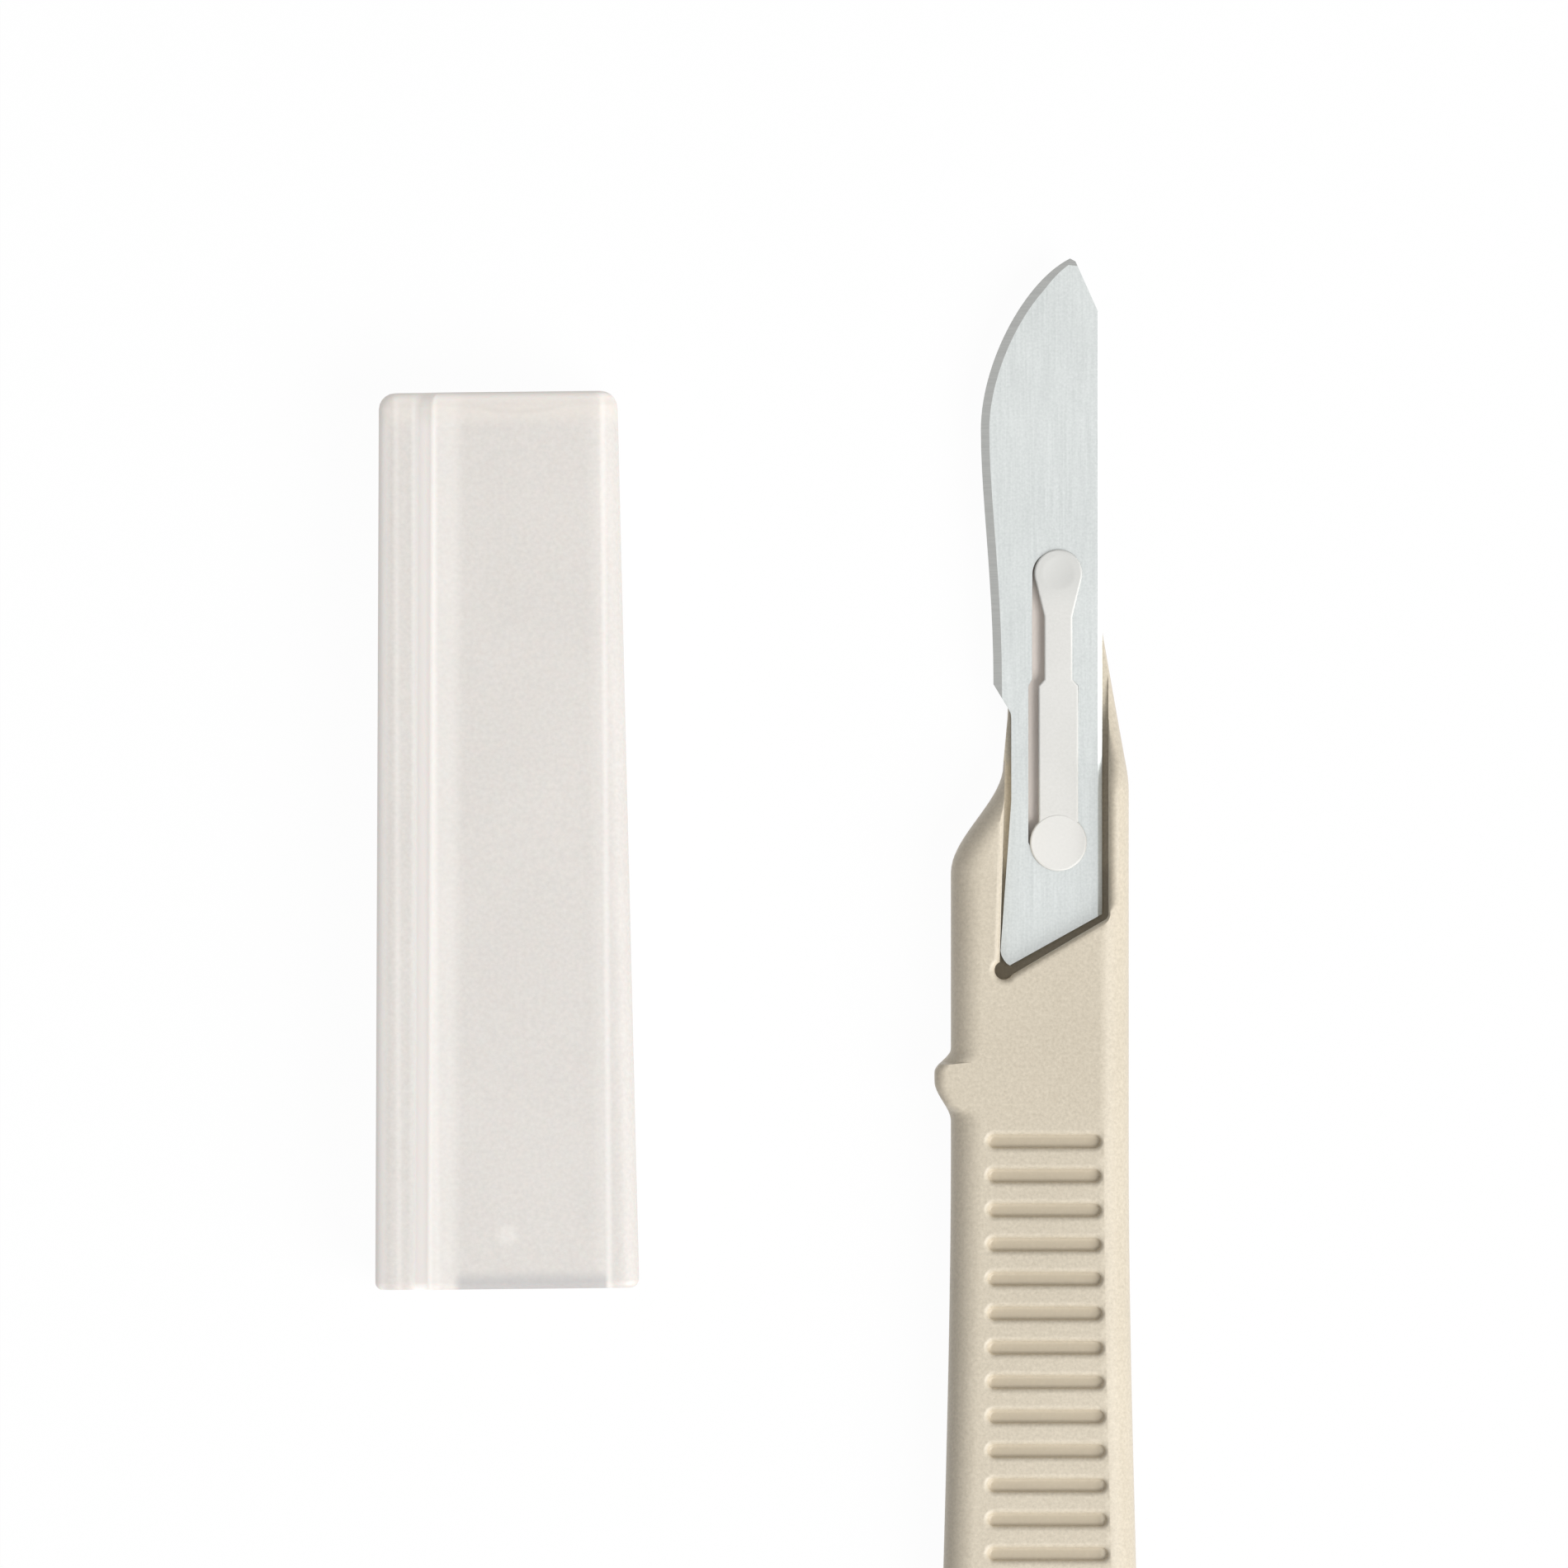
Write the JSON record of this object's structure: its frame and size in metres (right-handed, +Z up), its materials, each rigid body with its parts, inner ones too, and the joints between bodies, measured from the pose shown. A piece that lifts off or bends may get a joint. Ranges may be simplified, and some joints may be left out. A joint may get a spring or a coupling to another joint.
{
  "type": "scalpel",
  "caption": "Disposable scalpel: a ground steel blade held on a plastic key in a grooved flat handle, with its translucent blade cover taken off and lying beside it.",
  "frame": {"origin": "centre of the footprint of the scalpel and its cover together, on the surface that they lie on", "axes": "+Y along the scalpel towards the blade's tip, +Z up out of the face that carries the blade, +X from the cover towards the scalpel"},
  "size_m": [0.0456, 0.14, 0.008],
  "materials": {
    "handle_plastic": "fine spark-eroded mould texture, beige",
    "blade_steel": "satin strip, ground cutting edge",
    "key_plastic": "smooth, off-white",
    "cover_plastic": "translucent, milky, satin"
  },
  "bodies": {
    "root": {"handle": "handle_plastic", "blade": "blade_steel", "blade_key": "key_plastic", "blade_cover": "cover_plastic"}
  },
  "joints": []
}
